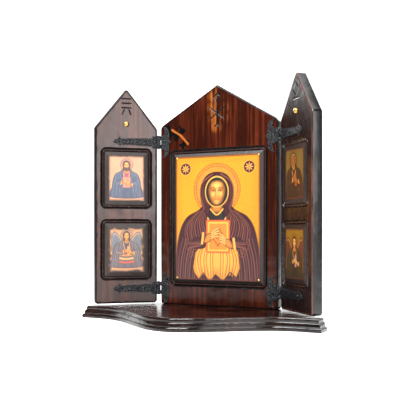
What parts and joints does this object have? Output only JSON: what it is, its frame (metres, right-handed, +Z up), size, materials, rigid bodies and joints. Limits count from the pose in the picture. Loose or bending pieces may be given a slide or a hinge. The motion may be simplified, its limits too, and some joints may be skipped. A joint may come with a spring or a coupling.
{
  "type": "triptych altarpiece",
  "caption": "Wooden triptych altarpiece: a gabled centre board and hinged gabled wings with framed pictures, on a moulded shelf.",
  "frame": {"origin": "under the middle of the shelf, on the surface that it stands on", "axes": "+X to the viewer's right along the shelf, +Y towards the back, +Z up"},
  "size_m": [0.485, 0.2336, 0.4491],
  "materials": {
    "shelf_wood": "dark red-brown stain under gloss varnish",
    "centre_wood": "streaked brown stain, scorched round the carving, gloss varnish",
    "wing_wood": "greyish brown stain, satin varnish",
    "picture": "painted picture on a thin block, scorched bevels, satin varnish",
    "iron": "hammered, black",
    "brass": "polished"
  },
  "bodies": {
    "root": {"shelf": "shelf_wood", "centre_board": "centre_wood", "centre_icon": "picture", "icon_nail_1": "brass", "icon_nail_2": "brass", "icon_nail_3": "brass", "icon_nail_4": "brass", "left_lower_post": "iron", "left_lower_pin": "iron", "left_lower_post_nail_1": "iron", "left_lower_post_nail_2": "iron", "left_lower_post_nail_3": "iron", "left_upper_post": "iron", "left_upper_pin": "iron", "left_upper_post_nail_1": "iron", "left_upper_post_nail_2": "iron", "left_upper_post_nail_3": "iron", "right_lower_post": "iron", "right_lower_pin": "iron", "right_lower_post_nail_1": "iron", "right_lower_post_nail_2": "iron", "right_lower_post_nail_3": "iron", "right_upper_post": "iron", "right_upper_pin": "iron", "right_upper_post_nail_1": "iron", "right_upper_post_nail_2": "iron", "right_upper_post_nail_3": "iron"},
    "left_wing": {"left_wing_board": "wing_wood", "left_lower_icon": "picture", "left_upper_icon": "picture", "left_stud": "brass", "left_lower_strap": "iron", "left_lower_strap_nail_1": "iron", "left_lower_strap_nail_2": "iron", "left_lower_strap_nail_3": "iron", "left_upper_strap": "iron", "left_upper_strap_nail_1": "iron", "left_upper_strap_nail_2": "iron", "left_upper_strap_nail_3": "iron"},
    "right_wing": {"right_wing_board": "wing_wood", "right_lower_icon": "picture", "right_upper_icon": "picture", "right_stud": "brass", "right_lower_strap": "iron", "right_lower_strap_nail_1": "iron", "right_lower_strap_nail_2": "iron", "right_lower_strap_nail_3": "iron", "right_upper_strap": "iron", "right_upper_strap_nail_1": "iron", "right_upper_strap_nail_2": "iron", "right_upper_strap_nail_3": "iron"}
  },
  "joints": [
    {"name": "left_wing_hinge", "type": "hinge", "parent": "root", "child": "left_wing", "pos_m": [-0.1272, 0.0845, 0.2], "axis": [0, 0, 1], "range_deg": [-46.5, 136.5]},
    {"name": "right_wing_hinge", "type": "hinge", "parent": "root", "child": "right_wing", "pos_m": [0.1272, 0.0845, 0.2], "axis": [0, 0, -1], "range_deg": [-46.5, 136.5]}
  ]
}
